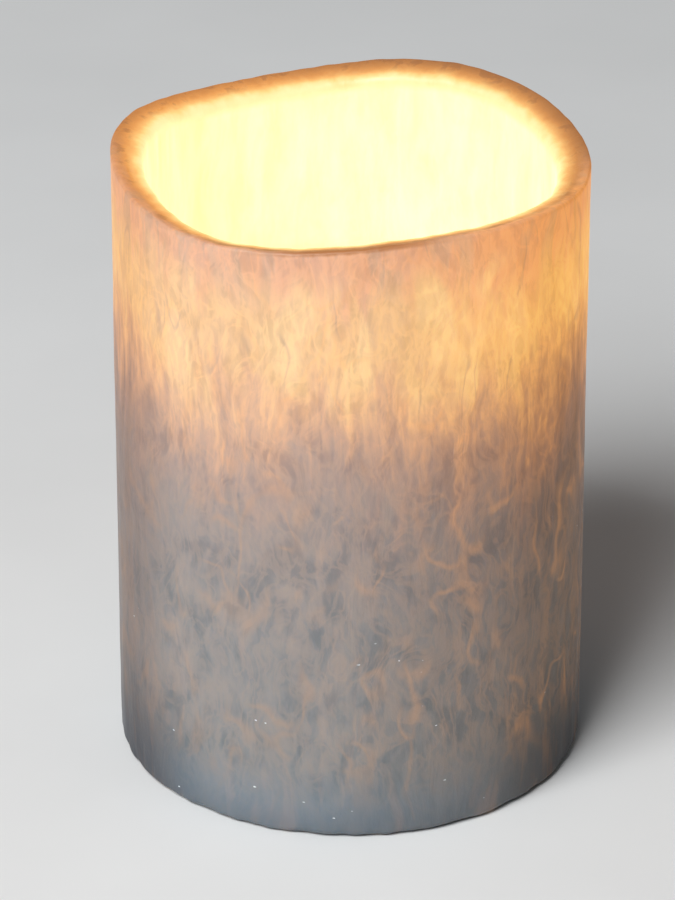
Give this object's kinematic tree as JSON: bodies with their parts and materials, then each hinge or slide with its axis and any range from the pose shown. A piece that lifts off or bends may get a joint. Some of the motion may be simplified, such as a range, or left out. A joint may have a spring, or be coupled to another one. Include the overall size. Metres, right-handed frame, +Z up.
{
  "type": "flameless led candle",
  "caption": "Flameless pillar candle: hollow translucent wax shell with a melted rim around a battery LED unit with a slide switch and a hinged battery door.",
  "frame": {"origin": "centre of the flat ring of wax that the candle stands on", "axes": "+Z up along the candle, +X along the slide switch's travel, -Y towards the slide switch, +Y towards the battery door's hinge"},
  "size_m": [0.076, 0.076, 0.1043],
  "materials": {
    "wax": "translucent crystalline paraffin wax, satin",
    "hot_melt": "glossy hot-melt adhesive",
    "base_plastic": "fine moulded grain",
    "housing_plastic": "plain moulded",
    "screw_steel": "zinc plated",
    "lens_plastic": "frosted translucent",
    "holder_plastic": "plain moulded",
    "led_epoxy": "clear warm epoxy",
    "tinned_wire": "tinned",
    "board_laminate": "green solder mask",
    "chip_black": "moulded epoxy",
    "can_metal": "nickel plated",
    "capacitor_sleeve": "shrink sleeve",
    "resistor_black": "fired film",
    "knob_plastic": "moulded",
    "cell_wrap": "printed shrink wrap over a steel can",
    "contact_nickel": "nickel plated spring steel",
    "red_insulation": "PVC insulation",
    "black_insulation": "PVC insulation"
  },
  "bodies": {
    "candle": {"wax_shell": "wax", "top_adhesive": "hot_melt", "foot_adhesive": "hot_melt", "base_plate": "base_plastic", "unit_housing": "housing_plastic", "unit_cap": "housing_plastic", "housing_screws": "screw_steel", "cap_screws": "screw_steel", "board_screws": "screw_steel", "flame_lens": "lens_plastic", "led_holder": "holder_plastic", "led": "led_epoxy", "led_legs": "tinned_wire", "timer_board": "board_laminate", "timer_chip": "chip_black", "chip_legs": "tinned_wire", "timing_crystal": "can_metal", "board_capacitor": "capacitor_sleeve", "board_resistors": "resistor_black", "switch_can": "can_metal", "switch_pins": "tinned_wire", "aa_cell_left": "cell_wrap", "aa_cell_right": "cell_wrap", "positive_contact": "contact_nickel", "negative_contact": "contact_nickel", "negative_spring": "contact_nickel", "red_cell_wire": "red_insulation", "black_cell_wire": "black_insulation", "red_led_wire": "red_insulation", "black_led_wire": "black_insulation"},
    "knob": {"switch_knob": "knob_plastic"},
    "door": {"battery_door": "base_plastic", "bridge_contact": "contact_nickel", "door_spring": "contact_nickel"}
  },
  "joints": [
    {"name": "door_hinge", "type": "hinge", "parent": "candle", "child": "door", "pos_m": [0, 0.014, 0.0032], "axis": [1, 0, 0], "range_deg": [0, 100]},
    {"name": "switch_slide", "type": "slide", "parent": "candle", "child": "knob", "axis": [1, 0, 0], "range_m": [-0.002, 0.002]}
  ]
}
